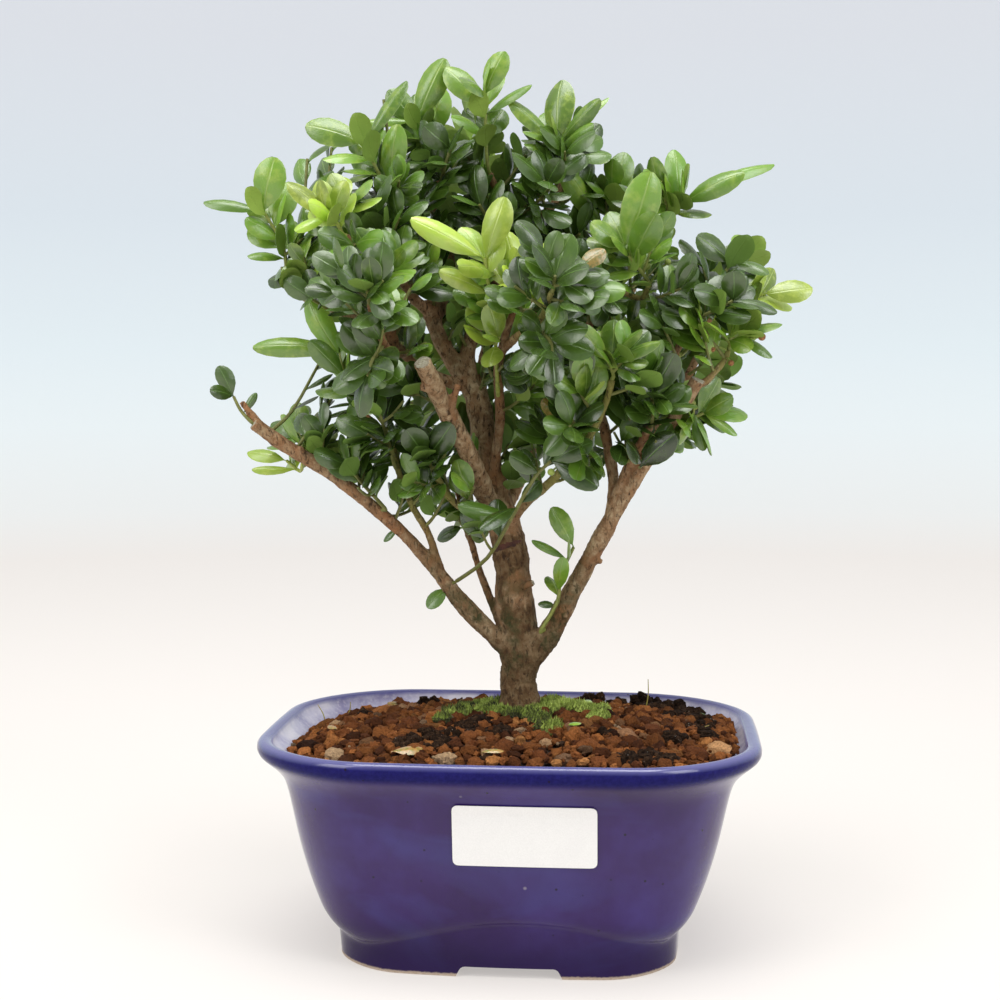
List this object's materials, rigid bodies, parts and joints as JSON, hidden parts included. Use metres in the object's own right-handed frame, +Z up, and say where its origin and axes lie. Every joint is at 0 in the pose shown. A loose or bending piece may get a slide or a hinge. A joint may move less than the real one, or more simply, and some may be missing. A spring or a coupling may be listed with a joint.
{
  "type": "japanese holly bonsai in a pot",
  "caption": "Small holly bonsai with a forked grey-brown trunk, airy sprays of spoon-shaped leaves and a mossy gravel surface, in a rounded oblong blue glazed pot.",
  "frame": {"origin": "middle of the part's box, on the plane that the pot's foot rests on", "axes": "+Z up the trunk, -Y towards the front of the pot with the label, +X to its right"},
  "size_m": [0.1834, 0.144, 0.2731],
  "materials": {
    "glaze": "gloss",
    "mesh_plastic": "matte",
    "label_paper": "satin",
    "potting_soil": "matte",
    "clay_grain": "matte",
    "moss": "matte",
    "peat": "matte",
    "bark": "matte",
    "leaf_old": "satin",
    "leaf_grown": "satin",
    "leaf_young": "satin"
  },
  "bodies": {
    "root": {"pot": "glaze", "drain_mesh_left": "mesh_plastic", "drain_mesh_right": "mesh_plastic", "paper_label": "label_paper", "soil_bed": "potting_soil", "clay_grains": "clay_grain", "moss_ring": "moss", "peat_front": "peat", "peat_back": "peat", "wood": "bark", "shoot_west_top": "leaf_grown", "shoot_west_gold": "leaf_young", "shoot_nw_top": "leaf_grown", "shoot_top_left": "leaf_grown", "shoot_top_left_low": "leaf_old", "shoot_top_mid": "leaf_grown", "shoot_top_right": "leaf_grown", "shoot_gold_right": "leaf_grown", "shoot_right_front": "leaf_grown", "shoot_ne_top": "leaf_grown", "shoot_east_upper": "leaf_old", "shoot_east_mid": "leaf_old", "shoot_far_east": "leaf_young", "shoot_front_gold": "leaf_young", "shoot_front_gold_left": "leaf_young", "shoot_left_fork": "leaf_grown", "shoot_left_bright": "leaf_grown", "shoot_left_dark": "leaf_old", "shoot_left_low": "leaf_old", "shoot_stub_west": "leaf_old", "shoot_limb_under": "leaf_young", "shoot_limb_back": "leaf_grown", "shoot_centre_left": "leaf_old", "shoot_stub_side": "leaf_old", "shoot_trunk_cross": "leaf_old", "shoot_limb_low": "leaf_grown", "shoot_slender_top": "leaf_grown", "shoot_slender_mid": "leaf_old", "shoot_right_green": "leaf_old", "shoot_right_big": "leaf_old", "shoot_right_low": "leaf_old", "shoot_right_drop": "leaf_grown", "shoot_right_end": "leaf_grown", "shoot_bough_top": "leaf_old", "shoot_bough_mid": "leaf_old", "shoot_fore_left": "leaf_old", "shoot_fore_left_low": "leaf_old", "shoot_back_left_end": "leaf_grown", "shoot_back_left_mid": "leaf_old", "shoot_back_mid_end": "leaf_grown", "shoot_back_mid_side": "leaf_old", "shoot_back_right_end": "leaf_grown", "shoot_back_right_mid": "leaf_old", "shoot_bough_east_end": "leaf_grown", "shoot_bough_east_mid": "leaf_old", "shoot_crown_left_mid": "leaf_old", "shoot_crown_mid_low": "leaf_old", "shoot_crown_right_mid": "leaf_old", "shoot_crown_east_low": "leaf_old"}
  },
  "joints": []
}
